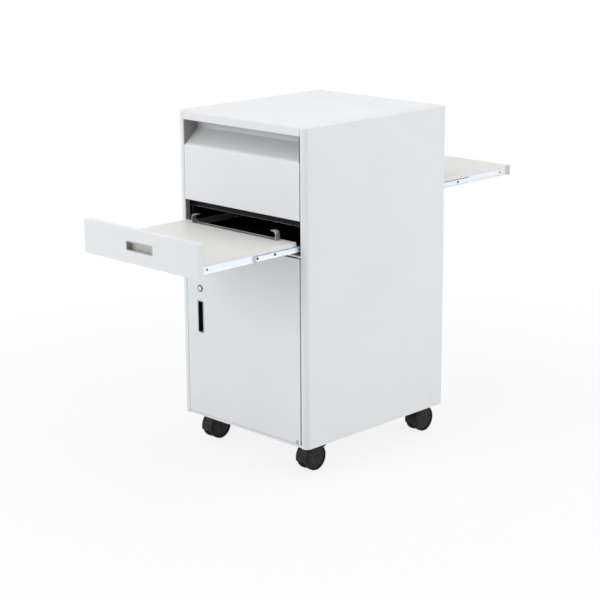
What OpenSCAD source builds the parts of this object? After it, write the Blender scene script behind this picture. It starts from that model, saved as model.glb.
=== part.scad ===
// Projector cart: a steel cabinet on casters with a laptop tray that slides out at the front,
// a projector shelf that slides out at the back and a lockable cupboard door.
// X runs across the cart, Y from front to back, Z up. The tray and the shelf are drawn pulled out.

/* [Cabinet] */
// Width across the side panels
cabinet_w = 500; // [470:5:540]
// Depth from the front plane to the rear edge of the side panels
cabinet_d = 565; // [550:5:600]
// Height of the sheet body without the casters
body_h = 885; // [875:5:930]
// Height of the body's lower edge above the floor
floor_gap = 85; // [84:1:88]
// Thickness of the folded sheet
sheet = 1.2; // [1:0.1:1.4]
// Width of the rounded front posts
post_w = 22; // [20:1:26]
// Radius of the front posts' outer edge
post_r = 14; // [10:1:15]
// Depth of the posts' inner return
post_return = 18; // [15:1:19]
// Radius of the top edges
top_r = 4; // [3:0.5:5]
// Width of the rear flanges of the side panels
rear_flange = 20; // [16:1:21]
// Height of the rail under the door
base_h = 8; // [7:0.5:10]

/* [Front] */
// Height of the front edge of the top
valance_h = 25; // [20:1:30]
// Height of the slanted part of the hand hold
hold_rise = 47; // [40:1:52]
// Depth of the hand hold
hold_depth = 50; // [44:1:56]
// Height of the upright strip at the back of the hand hold
hold_strip = 49; // [46:1:56]
// Thickness of the drawer front and the door
door_t = 20; // [19:0.5:21]
// Height of the drawer front
drawer_front_h = 91; // [86:1:96]
// Height of the door
door_h = 521; // [500:1:530]
// Height of the rail between door and drawer front
rail_h = 5.5; // [5:0.5:8]
// Gap beside the door on its lock side and beside the drawer front
side_gap = 2; // [1.5:0.5:3]
// Gap beside the door on its hinge side
hinge_gap = 3.5; // [3:0.5:4.5]
// Gap above and below the drawer front
front_gap = 1.5; // [1:0.5:2]
// Width of the drawer's recessed pull
pull_w = 102; // [90:1:120]
// Height of the drawer's recessed pull
pull_h = 23; // [20:1:28]
// Depth of the recessed pulls
pull_depth = 15; // [12:0.5:15.5]
// Width of the door's recessed pull
door_pull_w = 22; // [18:1:26]
// Height of the door's recessed pull
door_pull_h = 92; // [80:1:110]
// Distance of lock and door pull from the cabinet side
lock_inset = 78; // [74:1:82]

/* [Slides] */
// Height of a slide member
slide_h = 19; // [18:0.5:21]
// Width of a complete slide
slide_w = 12.7; // [12.5:0.1:13.5]
// Length of the tray slides
tray_slide_len = 335; // [300:5:340]
// How far the tray is pulled out
tray_out = 362; // [330:1:365]
// Length of the projector shelf slides
shelf_slide_len = 400; // [380:5:420]
// How far the projector shelf is pulled out
shelf_out = 333; // [300:1:340]
// Depth of the projector shelf
shelf_depth = 490; // [450:5:495]
// Height of a deck above its slide's top edge
deck_rise = 8.5; // [6:0.5:10]
// Radius of a bearing ball
ball_r = 1.5; // [1.4:0.05:1.5]

/* [Casters] */
// Diameter of a wheel
wheel_d = 75; // [70:1:76]
// Width over both wheels
wheels_w = 42; // [38:1:46]
// Distance from the stem to the axle
trail = 23; // [21:1:25]
// Distance of the stems from the sides
stem_inset_x = 56; // [54:1:70]
// Distance of the front stems from the front
stem_front = 50; // [46:1:60]
// Distance of the rear stems from the back
stem_rear = 55; // [50:1:70]
// Diameter of the wheels' axle
axle_d = 8; // [7:0.5:9]

/* [Hidden] */
$fn = 48;

white = [0.90, 0.91, 0.92];
zinc = [0.80, 0.83, 0.87];
steel = [0.62, 0.62, 0.61];
black = [0.12, 0.12, 0.12];

// Extra length of every cut past the face that it opens
overrun = 1;
// Running clearance of pins, axles and balls
running = 0.05;
// Clearance round fixed screws, pins and cups
loose = 0.1;
// Seam between pieces that are fitted close
seam = 0.3;
// Bend radius of the folded sheet at its middle line
bend = 2;
// Half the sheet's thickness
half_t = sheet / 2;
half_w = cabinet_w / 2;
inner_w = half_w - sheet;
post_x = half_w - post_w;
post_flat = post_x + 2 * bend + half_t;
z_base = floor_gap;
z_top = z_base + body_h;
z_floor = z_base + base_h;
z_wall = z_top - 2 * top_r;
lip = 12;

// Front openings from the bottom up
door_foot_gap = 2;
door_head_gap = 3.5;
z_door = z_floor + door_foot_gap;
z_door_top = z_door + door_h;
z_rail = z_door_top + door_head_gap;
z_rail_top = z_rail + rail_h;
z_drawer = z_rail_top + front_gap;
z_drawer_top = z_drawer + drawer_front_h;
z_panel = z_drawer_top + front_gap;
z_valance = z_top - valance_h;
z_hold = z_top - sheet - hold_strip;
z_bend = z_hold - hold_rise;

// Fixed inner panels
divider_drop = 20;
divider_flange = 30;
z_divider = z_panel - divider_drop;
fold_gap = 4;
panel_fold = door_t + fold_gap;
rail_setback = 2;
rail_flange = 22;
valance_return = 14;
rear_drop = 28;
top_half = post_x - seam;
panel_half = top_half - sheet - seam;
cable_slot_w = 90;
cable_slot_h = 32;
cable_slot_back = 62;

// Back panel, a shallow pan, and its screws
back_proud = 3.5;
back_margin = 3;
back_corner = 4;
back_edge = 2;
z_back = z_divider - back_edge;
back_screw_share = 0.06;
back_screw_rows = 4;
back_screw_first = z_base + body_h * back_screw_share;
back_screw_pitch = (z_back - back_screw_first - body_h * back_screw_share)
    / (back_screw_rows - 1);
back_screw_z = [for (i = [0 : back_screw_rows - 1]) back_screw_first + i * back_screw_pitch];
back_screw_x = half_w - rear_flange / 2;

// Upright channels between the side panels and the slides
upright_w = 30;
upright_front = 30;
upright_rear = 55;
upright_top = 30;
upright_mid_share = 0.575;
upright_y = [upright_front, cabinet_d * upright_mid_share, cabinet_d - upright_rear];
slide_x = post_x + sheet;
notch_gap = 0.4;

// Cupboard shelf and its pins
inner_shelf_share = 0.5;
inner_shelf_front = 40;
z_inner_shelf = z_floor + door_h * inner_shelf_share;
shelf_pin_d = 5;
shelf_pin_neck = 4;
shelf_pin_head = 6;
shelf_pin_pitch = 40;
shelf_pin_rows = 7;
shelf_pin_share = 0.7;
z_shelf_pin = z_inner_shelf - lip - shelf_pin_d / 2 - seam;
shelf_pin_y = [upright_y[0] + upright_w * shelf_pin_share,
    upright_y[2] + upright_w * (1 - shelf_pin_share)];

// Slides: distances across a slide are counted inwards from the cabinet member's web
slide_web = 1;
channel_gap = 0.7;
channel_depth = (slide_w - channel_gap) / 2;
bar_gap = 0.5;
bar_t = 1.2;
ball_gap = 0.7;
race_depth_share = 0.25;
race_r = ball_r + running;
ball_u = slide_web + ball_gap + ball_r;
ball_v = slide_h / 2 - slide_web - ball_r * (1 - race_depth_share);
bar_v = ball_v - ball_r * (1 - race_depth_share);
cage_t = 0.5;
cage_w = 2 * race_r + bar_gap;
cage_share = 0.85;
ball_count = 4;
slide_gap = 2;
tray_slide_rise = 20;
z_tray_slide = z_rail_top + tray_slide_rise;
z_tray_deck = z_tray_slide + slide_h / 2 + deck_rise;
tray_slide_y = door_t + slide_gap;
shelf_slide_rise = 35;
z_shelf_slide = z_divider + shelf_slide_rise;
z_shelf_deck = z_shelf_slide + slide_h / 2 + deck_rise;
shelf_end_margin = 15;
shelf_slide_y = cabinet_d - shelf_end_margin - shelf_slide_len;
deck_half = slide_x - slide_w;
deck_lap = 2;
deck_side = deck_rise + slide_h + deck_lap;
deck_edge = deck_half - 3 * bend;

// Screws of the slides: places along a slide, counted from its outer end
slide_screw_shares = [0.05, 0.56, 0.75];
screw_r = 2;
screw_head_r = 3.2;
screw_head_t = 1.4;
access_r = 4;

// Tray and projector shelf, pulled out
tray_front = -tray_out;
tray_plate = tray_front + door_t;
tray_back = tray_slide_y + tray_slide_len - tray_out + slide_gap;
drawer_half = post_x - side_gap;
drawer_pull_share = 0.51;
z_drawer_pull = z_drawer + drawer_front_h * drawer_pull_share;
shelf_back = cabinet_d + shelf_out;
shelf_front = shelf_back - shelf_depth;
pan_r = 2;
// The whole cart is moved so that its origin lies under the middle of its outline
cup_rim_t = 0.6;
shift_y = -(shelf_back + tray_front - cup_rim_t) / 2;

// Laptop stop on the tray
stop_end = 50;
stop_t = 2;
stop_w = 16;
stop_back = 12;
stop_rise = 20;
stop_curl = 6;

// Door pivots
door_left = -post_x + side_gap;
door_right = post_x - hinge_gap;
pivot_inset = 7.5;
pivot_x = door_right - pivot_inset;
pivot_y = 7;
pin_r = 3;
pin_flange_r = 6;
pin_flange_t = 1.2;
pin_reach = 12;
bush_r = 5.3;
bush_h = 14;
bush_proud = 0.5;
bumper_r = 4;

// Lock and recessed pulls
lock_x = -half_w + lock_inset;
lock_share = 0.716;
door_pull_share = 0.556;
z_lock = z_door + door_h * lock_share;
z_door_pull = z_door + door_h * door_pull_share;
lock_r = 8;
lock_flange_r = 10;
lock_flange_t = 2;
lock_nut_t = 2.5;
plug_r = 6;
plug_proud = 0.5;
key_w = 1.6;
key_l = 7;
cam_t = 2.5;
cam_w = 12;
cam_hub_r = 9;
cam_lap = 5;
cam_len = lock_inset - post_w + cam_lap;
cam_y = door_t + lock_nut_t + seam;
cup_wall = 1;
cup_rim = 2;

// Casters, counted from the stem
wheel_r = wheel_d / 2;
axle_r = axle_d / 2;
web_half = 6.5;
hub_gap = 0.7;
stem_r = 4;
stem_clear = 6;
plate_t = 3;
plate_w = 60;
z_plate = z_floor - sheet - plate_t;
hex_r = 11;
hex_h = 3;
stud_r = 5;
stud_rise = 9;
nut_r = 8.5;
nut_h = 5;
collar_r = 11;
collar_gap = 0.5;
z_collar = z_plate - hex_h - collar_gap;
hood_t = 2.3;
hood_gap = 1.2;
hood_r = wheel_r + hood_gap;
hood_angles = [50, 172];
web_angles = [30, 172];
sector_steps = 4;
web_share = 0.86;
neck_share = 1.6;
tread_r = 2.5;
rim_t = 6;
cap_t = 2.2;
cap_share = 0.5;
spoke_t = 2.8;
lug_r = 5;
pedal_pin_r = 2;
pedal_t = 2;
pedal_half = 12;
pedal_bar = 7;
pedal_sink = 0.5;
pedal_overhang = 2;
tip_r = 4.5;
bead_r = 2;
// Places of the pedal's pivot and tip, counted from the axle
pedal_pivot_shares = [0.94, 0.72];
pedal_tip_shares = [1.16, 0.58];
pedal_pivot = wheel_r * pedal_pivot_shares;
pedal_tip = wheel_r * pedal_tip_shares;
pedal_arm = pedal_tip - pedal_pivot;
pedal_end = norm(pedal_arm) + pedal_overhang;
// Stems of the front left, front right, rear left and rear right caster
stem_x = half_w - stem_inset_x;
stems = [[-stem_x, stem_front], [stem_x, stem_front], [-stem_x, cabinet_d - stem_rear],
    [stem_x, cabinet_d - stem_rear]];

// Unit vector along v
function unit(v) = v / norm(v);
// Length that a bend of radius r takes from each leg at corner b
function reach(a, b, c, r) = r * tan(acos(unit(b - a) * unit(c - b)) / 2);
// Point at distance r from the centre in a direction
function polar(r, angle) = [r * cos(angle), r * sin(angle)];
// Place of a slide screw when the slide is drawn out
function screw_y(y, length, out, share) = y + out + length * (out < 0 ? share : 1 - share);

// Rounded corner of a folded strip
module bend_sector(a, b, c, r, t) {
    p = unit(b - a);
    q = unit(c - b);
    d = reach(a, b, c, r);
    side = sign(p[0] * q[1] - p[1] * q[0]);
    centre = b - p * d + side * r * [-p[1], p[0]];
    grow = (r + t) / r;
    intersection() {
        translate(centre) difference() {
            circle(r + t / 2);
            circle(r - t / 2);
        }
        polygon([centre, centre + grow * (b - p * d - centre), centre + grow * (b - centre),
            centre + grow * (b + q * d - centre)]);
    }
}

// Section of folded sheet along a middle line, with one bend radius for each inner corner
module folded(path, radii, t = sheet) {
    last = len(path) - 1;
    for (i = [0 : last - 1]) {
        from = i == 0 ? 0 : reach(path[i - 1], path[i], path[i + 1], radii[i - 1]);
        to = i == last - 1 ? 0 : reach(path[i], path[i + 1], path[i + 2], radii[i]);
        along = unit(path[i + 1] - path[i]);
        translate(path[i] + along * from) rotate(atan2(along[1], along[0]))
            translate([0, -t / 2]) square([norm(path[i + 1] - path[i]) - from - to, t]);
    }
    for (i = [1 : last - 1])
        bend_sector(path[i - 1], path[i], path[i + 1], radii[i - 1], t);
}

// Rectangle with round corners, centred
module round_rect(w, h, r) {
    square([w - 2 * r, h], center = true);
    square([w, h - 2 * r], center = true);
    for (x = [-1, 1], y = [-1, 1]) translate([x * (w / 2 - r), y * (h / 2 - r)]) circle(r);
}

// Slot with round ends
module stadium(w, h) {
    square([w - h, h], center = true);
    for (x = [-1, 1]) translate([x * (w - h) / 2, 0]) circle(h / 2);
}

// Part of a disc between two angles
module disc_sector(r, angles) {
    step = (angles[1] - angles[0]) / sector_steps;
    intersection() {
        circle(r);
        polygon(concat([[0, 0]],
            [for (i = [0 : sector_steps]) polar(2 * r, angles[0] + i * step)]));
    }
}

// Extrusion along X from x0 to x1 of a section in Y and Z
module along_x(x0, x1) {
    translate([x0, 0, 0]) rotate([90, 0, 90]) linear_extrude(x1 - x0) children();
}
// Extrusion along Y from y0 to y1 of a section in X and Z
module along_y(y0, y1) {
    translate([0, y1, 0]) rotate([90, 0, 0]) linear_extrude(y1 - y0) children();
}
// Extrusion along Z from z0 to z1 of a section in X and Y
module along_z(z0, z1) {
    translate([0, 0, z0]) linear_extrude(z1 - z0) children();
}
// Block between two corners
module block(a, b) {
    translate(a) cube(b - a);
}
// Round bar along Y
module rod_y(x, z, y0, y1, r) {
    translate([x, y1, z]) rotate([90, 0, 0]) cylinder(h = y1 - y0, r = r);
}
// Round bar along X
module rod_x(y, z, x0, x1, r) {
    translate([x0, y, z]) rotate([0, 90, 0]) cylinder(h = x1 - x0, r = r);
}
// Round bar along Z
module rod_z(x, y, z0, z1, r) {
    translate([x, y, z0]) cylinder(h = z1 - z0, r = r);
}
// Right pieces as drawn, left pieces as their mirror images
module on_side(side) {
    if (side < 0) mirror([1, 0, 0]) children();
    else children();
}
// From the cabinet's front plane to the cart's origin
module placed() {
    translate([0, shift_y, 0]) children();
}

// Side panel with front post, top flange and rear flange
module side_panel() {
    wall = [[half_w - half_t, z_base], [half_w - half_t, z_top - half_t],
        [post_x + half_t, z_top - half_t], [post_x + half_t, z_top - lip]];
    front = [[half_t, z_base], [half_t, z_top - half_t], [post_r, z_top - half_t]];
    short_wall = concat([[half_w - half_t, z_wall]], [for (i = [1 : 3]) wall[i]]);
    short_front = concat([[half_t, z_wall]], [for (i = [1 : 2]) front[i]]);
    fold_y = cabinet_d - 2 * bend - half_t;
    color(white) difference() {
        union() {
            translate([half_w - post_r, post_r, 0]) rotate([0, 0, -90])
                rotate_extrude(angle = 90) folded([[post_r - half_t, z_base],
                    [post_r - half_t, z_top - half_t], [0, z_top - half_t]], [top_r - half_t]);
            along_y(post_r, fold_y) folded(wall, [top_r - half_t, bend]);
            along_y(fold_y, cabinet_d) folded(short_wall, [top_r - half_t, bend]);
            along_z(z_base, z_wall) folded([[half_w - half_t, fold_y],
                [half_w - half_t, cabinet_d - half_t],
                [half_w - rear_flange, cabinet_d - half_t]], [bend]);
            along_x(post_flat, half_w - post_r) folded(front, [top_r - half_t]);
            along_x(post_x, post_flat) folded(short_front, [top_r - half_t]);
            along_z(z_base, z_wall) folded([[post_flat, half_t], [post_x + half_t, half_t],
                [post_x + half_t, post_return]], [bend]);
            block([post_x, top_r, z_wall], [post_x + sheet, post_r, z_top - half_t]);
        }
        for (z = back_screw_z)
            rod_y(back_screw_x, z, cabinet_d - 2 * sheet, cabinet_d + overrun, screw_r + loose);
    }
}

// Top panel with the valance, set between the side panels
module top_panel() {
    color(white) {
        along_x(-top_half, top_half) folded([[valance_return, z_valance + half_t],
            [half_t, z_valance + half_t], [half_t, z_top - half_t],
            [cabinet_d - half_t, z_top - half_t], [cabinet_d - half_t, z_top - rear_drop]],
            [bend, top_r - half_t, bend]);
        for (side = [-1, 1]) on_side(side) block([top_half - sheet, hold_depth, z_top - lip],
            [top_half, cabinet_d - lip, z_top - half_t]);
    }
}

// Upper front panel: upright face, slanted hand hold, and cheeks that close its ends
module upper_front_panel() {
    z_under = z_top - sheet;
    y_cheek = valance_return + seam;
    color(white) {
        along_x(-panel_half, panel_half) folded([[panel_fold, z_panel + half_t],
            [half_t, z_panel + half_t], [half_t, z_bend], [hold_depth, z_hold],
            [hold_depth, z_under - half_t], [hold_depth + lip, z_under - half_t]],
            [bend, 2 * bend, bend, bend]);
        for (side = [-1, 1]) on_side(side) along_x(panel_half - sheet, panel_half)
            polygon([[half_t, z_bend - bend], [half_t, z_bend], [hold_depth, z_hold],
                [hold_depth, z_under - sheet], [y_cheek, z_under - sheet],
                [y_cheek, z_valance - seam], [0, z_valance - seam], [0, z_bend - bend]]);
    }
}

// Cut-outs that let the upright channels pass through a divider
module upright_notches(z0, z1) {
    for (side = [-1, 1], y = upright_y) on_side(side)
        block([slide_x - notch_gap, y - notch_gap, z0],
            [half_w + overrun, y + upright_w + notch_gap, z1]);
}

// Corners cut off at the back, where a side panel's rear fold has its round inside
module rear_notches(z0, z1) {
    for (side = [-1, 1]) on_side(side)
        block([inner_w - bend, cabinet_d - sheet - bend, z0],
            [inner_w + overrun, cabinet_d + overrun, z1]);
}

// Slot for cables near the back of a divider
module cable_slot(z) {
    translate([0, cabinet_d - cable_slot_back, 0]) along_z(z - sheet - overrun, z + overrun)
        stadium(cable_slot_w, cable_slot_h);
}

// Floor of the projector bay and roof of the tray bay
module bay_divider() {
    front = panel_fold + half_t;
    back = cabinet_d - 3 * half_t;
    color(white) difference() {
        along_x(-inner_w, inner_w) folded([[front, z_divider + divider_flange],
            [front, z_divider - half_t], [back, z_divider - half_t],
            [back, z_divider - rear_drop]], [bend, bend]);
        upright_notches(z_divider - rear_drop, z_divider + divider_flange);
        rear_notches(z_divider - rear_drop - overrun, z_divider + overrun);
        cable_slot(z_divider);
    }
}

// Cut-outs that fit a full width panel between the front posts
module post_notches(z0, z1) {
    for (side = [-1, 1]) on_side(side)
        block([post_x - seam, -overrun, z0], [half_w, post_return + seam, z1]);
}

// Roof of the cupboard with the rail between door and drawer front
module lower_divider() {
    front = rail_setback + half_t;
    stop = panel_fold - half_t;
    back = cabinet_d - 3 * half_t;
    rail_r = bend / 2 + half_t;
    color(white) difference() {
        along_x(-inner_w, inner_w) folded([[back, z_rail_top - rear_drop],
            [back, z_rail_top - half_t], [front, z_rail_top - half_t], [front, z_rail + half_t],
            [stop, z_rail + half_t], [stop, z_rail - rail_flange]],
            [bend, rail_r, rail_r, bend]);
        post_notches(z_rail - overrun, z_rail_top + overrun);
        upright_notches(z_rail - rail_flange, z_rail_top + overrun);
        rear_notches(z_rail_top - rear_drop - overrun, z_rail_top + overrun);
        cable_slot(z_rail_top);
        rod_z(pivot_x, pivot_y, z_rail - overrun, z_rail + 2 * sheet, pin_r + loose);
    }
}

// Bottom panel with the rail under the door
module base_panel() {
    front = rail_setback + half_t;
    back = cabinet_d - 3 * half_t;
    color(white) difference() {
        union() {
            along_x(-inner_w, inner_w) folded([[back, z_base], [back, z_floor - half_t],
                [front, z_floor - half_t], [front, z_base + half_t],
                [panel_fold, z_base + half_t]], [bend, bend, bend]);
            for (side = [-1, 1]) on_side(side) block([inner_w - sheet, panel_fold, z_base],
                [inner_w, cabinet_d - rear_drop, z_floor - half_t]);
        }
        post_notches(z_base - overrun, z_floor + overrun);
        rear_notches(z_base - overrun, z_floor + overrun);
        rod_z(pivot_x, pivot_y, z_floor - 2 * sheet, z_floor + overrun, pin_r + loose);
        for (s = stems) rod_z(s[0], s[1], z_floor - 2 * sheet, z_floor + overrun, stud_r + loose);
    }
}

// Back panel, a shallow pan screwed to the rear flanges
module back_panel() {
    w = 2 * (half_w - back_margin);
    h = z_back - z_base - back_edge;
    color(white) difference() {
        translate([0, 0, z_back - h / 2]) difference() {
            along_y(cabinet_d, cabinet_d + back_proud) round_rect(w, h, back_corner);
            along_y(cabinet_d - overrun, cabinet_d + back_proud - sheet)
                round_rect(w - 2 * sheet, h - 2 * sheet, back_corner - sheet);
        }
        for (side = [-1, 1], z = back_screw_z) on_side(side) rod_y(back_screw_x, z,
            cabinet_d, cabinet_d + back_proud + overrun, screw_r + loose);
    }
}

module cabinet_screws() {
    face = cabinet_d + back_proud;
    color(zinc) for (side = [-1, 1], z = back_screw_z) on_side(side) {
        rod_y(back_screw_x, z, cabinet_d - 2 * sheet, face, screw_r);
        rod_y(back_screw_x, z, face, face + screw_head_t, screw_head_r);
    }
}

// Channels that carry the slides and the cupboard shelf
module uprights() {
    color(white) for (i = [0 : len(upright_y) - 1]) difference() {
        y0 = upright_y[i] + half_t;
        y1 = upright_y[i] + upright_w - half_t;
        along_z(z_floor, z_top - upright_top) folded([[inner_w, y0], [slide_x + half_t, y0],
            [slide_x + half_t, y1], [inner_w, y1]], [bend, bend]);
        if (i != 1) for (k = [0 : shelf_pin_rows - 1]) rod_x(shelf_pin_y[i / 2],
            z_shelf_pin + (k - (shelf_pin_rows - 1) / 2) * shelf_pin_pitch,
            slide_x - overrun, slide_x + 2 * sheet, shelf_pin_neck / 2 + loose);
    }
}

// Shelf in the cupboard, on four pins
module inner_shelf() {
    front = inner_shelf_front + half_t;
    back = cabinet_d - rear_drop - half_t;
    half = slide_x - seam;
    color(white) {
        along_x(-half, half) folded([[front, z_inner_shelf - rear_drop],
            [front, z_inner_shelf - half_t], [back, z_inner_shelf - half_t],
            [back, z_inner_shelf - rear_drop]], [bend, bend]);
        for (side = [-1, 1]) on_side(side)
            block([half - sheet, front + 2 * bend, z_inner_shelf - lip],
                [half, back - 2 * bend, z_inner_shelf - half_t]);
    }
}

module shelf_pins() {
    color(zinc) for (side = [-1, 1], y = shelf_pin_y) on_side(side) {
        rod_x(y, z_shelf_pin, slide_x - shelf_pin_head, slide_x, shelf_pin_d / 2);
        rod_x(y, z_shelf_pin, slide_x, slide_x + shelf_pin_head, shelf_pin_neck / 2);
    }
}

// Section of a slide's channel with its two ball races, opening inwards
module slide_channel() {
    difference() {
        translate([0, -slide_h / 2]) square([channel_depth, slide_h]);
        translate([slide_web, -slide_h / 2 + slide_web])
            square([channel_depth, slide_h - 2 * slide_web]);
        for (v = [-1, 1]) translate([ball_u, v * ball_v]) circle(race_r);
    }
}

// Section of the middle member: an upright web between two bars with races on both sides
module slide_core() {
    bar = slide_web + bar_gap;
    difference() {
        union() {
            translate([(slide_w - slide_web) / 2, -bar_v]) square([slide_web, 2 * bar_v]);
            for (v = [-bar_v, bar_v - bar_t]) translate([bar, v])
                square([slide_w - 2 * bar, bar_t]);
        }
        for (u = [ball_u, slide_w - ball_u], v = [-1, 1]) translate([u, v * ball_v])
            circle(race_r);
    }
}

// Slide sections are drawn inwards from the upright channel's face
module slide_place(z) {
    translate([slide_x, 0, z]) mirror([1, 0, 0]) children();
}

// Member fixed to the cabinet
module slide_outer(z, y, length) {
    color(zinc) slide_place(z) along_y(y, y + length) slide_channel();
}

// Member fixed to the deck, with its screw holes
module slide_inner(z, y, length, out) {
    color(zinc) difference() {
        slide_place(z) along_y(y + out, y + out + length)
            translate([slide_w, 0]) mirror([1, 0]) slide_channel();
        for (share = slide_screw_shares) rod_x(screw_y(y, length, out, share), z,
            deck_half - overrun, deck_half + slide_web + overrun, screw_r + loose);
    }
}

// Middle member, half way out, with holes for the screwdriver
module slide_middle(z, y, length, out) {
    color(zinc) difference() {
        slide_place(z) along_y(y + out / 2, y + out / 2 + length) slide_core();
        for (i = [1, 2]) rod_x(screw_y(y, length, out, slide_screw_shares[i]), z,
            deck_half, slide_x, access_r);
    }
}

// Ball cages, where the middle member and its neighbours lie side by side
module slide_cages(z, y, length, out) {
    beside = length - abs(out) / 2;
    cage = beside * cage_share;
    mid = y + out / 2;
    color(zinc) for (inside = [false, true]) {
        near = inside == (out < 0) ? mid + slide_gap : mid + length - cage - slide_gap;
        u = inside ? slide_w - ball_u : ball_u;
        balls = [for (k = [0 : ball_count - 1]) near + cage * (k + 1 / 2) / ball_count];
        slide_place(z) for (v = [-ball_v, ball_v]) {
            difference() {
                block([u - cage_w / 2, near, v - cage_t / 2],
                    [u + cage_w / 2, near + cage, v + cage_t / 2]);
                for (b = balls) rod_z(u, b, v - cage_t, v + cage_t, race_r);
            }
            for (b = balls) translate([u, b, v]) sphere(ball_r);
        }
    }
}

module slide_screws(z, y, length, out) {
    head = deck_half + slide_web;
    color(zinc) for (side = [-1, 1], share = slide_screw_shares) on_side(side) {
        rod_x(screw_y(y, length, out, share), z, deck_half - 2 * sheet, head, screw_r);
        rod_x(screw_y(y, length, out, share), z, head, head + screw_head_t, screw_head_r);
    }
}

// Folded sides of a deck, with the holes of the screws that hold the slides
module deck_sides(z_deck, z, y0, y1, y, length, out) {
    for (side = [-1, 1]) on_side(side) difference() {
        along_y(y0, y1) folded([[deck_edge, z_deck - half_t], [deck_half - half_t, z_deck - half_t],
            [deck_half - half_t, z_deck - deck_side]], [bend]);
        for (share = slide_screw_shares) rod_x(screw_y(y, length, out, share), z,
            deck_half - sheet - overrun, deck_half + overrun, screw_r + loose);
    }
}

// Tray deck; its front plate closes the back of the drawer front
module tray_deck() {
    plate_half = drawer_half - sheet - seam;
    color(white) {
        along_x(-deck_edge, deck_edge) folded([[tray_plate, z_tray_deck - half_t],
            [tray_back - half_t, z_tray_deck - half_t], [tray_back - half_t, z_tray_deck - lip]],
            [bend]);
        deck_sides(z_tray_deck, z_tray_slide, tray_plate, tray_back, tray_slide_y,
            tray_slide_len, -tray_out);
        block([-plate_half, tray_plate - sheet, z_drawer + sheet + seam],
            [plate_half, tray_plate, z_drawer_top - sheet - seam]);
    }
}

// Pan with round edges, open at the back
module front_pan(x0, x1, z0, z1, y) {
    translate([(x0 + x1) / 2, 0, (z0 + z1) / 2]) difference() {
        along_y(y, y + door_t) round_rect(x1 - x0, z1 - z0, pan_r);
        along_y(y + sheet, y + door_t + overrun)
            round_rect(x1 - x0 - 2 * sheet, z1 - z0 - 2 * sheet, pan_r - sheet / 2);
    }
}

module drawer_front() {
    color(white) difference() {
        front_pan(-drawer_half, drawer_half, z_drawer, z_drawer_top, tray_front);
        translate([0, 0, z_drawer_pull])
            along_y(tray_front - overrun, tray_front + sheet + overrun)
            round_rect(pull_w, pull_h, pan_r);
    }
}

// Recessed pull: a cup behind a thin rim
module pull_cup(x, z, y, w, h) {
    cup_w = w - 2 * loose;
    cup_h = h - 2 * loose;
    translate([x, 0, z]) difference() {
        union() {
            along_y(y - cup_rim_t, y)
                round_rect(w + 2 * cup_rim, h + 2 * cup_rim, pan_r + cup_rim);
            along_y(y, y + pull_depth) round_rect(cup_w, cup_h, pan_r - loose);
        }
        along_y(y - cup_rim_t - overrun, y + pull_depth - cup_wall)
            round_rect(cup_w - 2 * cup_wall, cup_h - 2 * cup_wall, pan_r - cup_wall);
    }
}

module drawer_pull() {
    color(steel) pull_cup(0, z_drawer_pull, tray_front, pull_w, pull_h);
}

// Laptop stop: a flat strip whose ends turn up and curl inwards
module laptop_stop() {
    back = tray_back - stop_back;
    x = deck_half - stop_end;
    z = z_tray_deck + stop_t / 2;
    top = z_tray_deck + stop_rise;
    color(steel) for (side = [-1, 1]) on_side(side) along_y(back - stop_w, back)
        folded([[0, z], [x, z], [x, top], [x - stop_curl, top + stop_curl],
            [x - 3 * stop_curl, top + stop_curl]], [2 * stop_t, stop_curl, stop_curl], stop_t);
}

// Projector shelf, folded down at its rear end
module projector_shelf() {
    color(white) {
        along_x(-deck_edge, deck_edge) folded([[shelf_front + half_t, z_shelf_deck - lip],
            [shelf_front + half_t, z_shelf_deck - half_t],
            [shelf_back - sheet, z_shelf_deck - half_t]], [bend]);
        deck_sides(z_shelf_deck, z_shelf_slide, shelf_front, shelf_back - sheet, shelf_slide_y,
            shelf_slide_len, shelf_out);
        along_y(shelf_back - sheet, shelf_back)
            translate([0, z_shelf_deck - deck_side / 2])
            round_rect(2 * (slide_x - slide_web - bar_gap), deck_side, pan_r);
    }
}

module door_panel() {
    color(white) difference() {
        front_pan(door_left, door_right, z_door, z_door_top, 0);
        translate([lock_x, 0, z_door_pull]) along_y(-overrun, sheet + overrun)
            round_rect(door_pull_w, door_pull_h, pan_r);
        rod_y(lock_x, z_lock, -overrun, sheet + overrun, lock_r + loose);
        rod_z(pivot_x, pivot_y, z_door - overrun, z_door + 2 * sheet, bush_r + loose);
        rod_z(pivot_x, pivot_y, z_door_top - 2 * sheet, z_door_top + overrun, bush_r + loose);
    }
}

// Inner skin of the door, a pan set between the door's folded edges
module door_inner_panel() {
    w = door_right - door_left - 2 * sheet - 2 * seam;
    h = door_h - 2 * sheet - 2 * seam;
    color(white) difference() {
        translate([(door_left + door_right) / 2, 0, z_door + door_h / 2]) difference() {
            along_y(pivot_y + bush_r + sheet, door_t) round_rect(w, h, pan_r);
            along_y(pivot_y, door_t - sheet)
                round_rect(w - 2 * sheet, h - 2 * sheet, pan_r - sheet / 2);
        }
        rod_y(lock_x, z_lock, pivot_y, door_t + overrun, lock_r + loose);
    }
}

module door_pull() {
    color(black) pull_cup(lock_x, z_door_pull, 0, door_pull_w, door_pull_h);
}

// Pivot pins riveted into the rails; the lower flange carries the door
module door_pivots() {
    color(steel) {
        rod_z(pivot_x, pivot_y, z_floor - 2 * sheet, z_floor + pin_reach, pin_r);
        rod_z(pivot_x, pivot_y, z_floor, z_floor + pin_flange_t, pin_flange_r);
        rod_z(pivot_x, pivot_y, z_rail - pin_reach, z_rail + 2 * sheet, pin_r);
        rod_z(pivot_x, pivot_y, z_rail - pin_flange_t, z_rail, pin_flange_r);
    }
}

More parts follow.
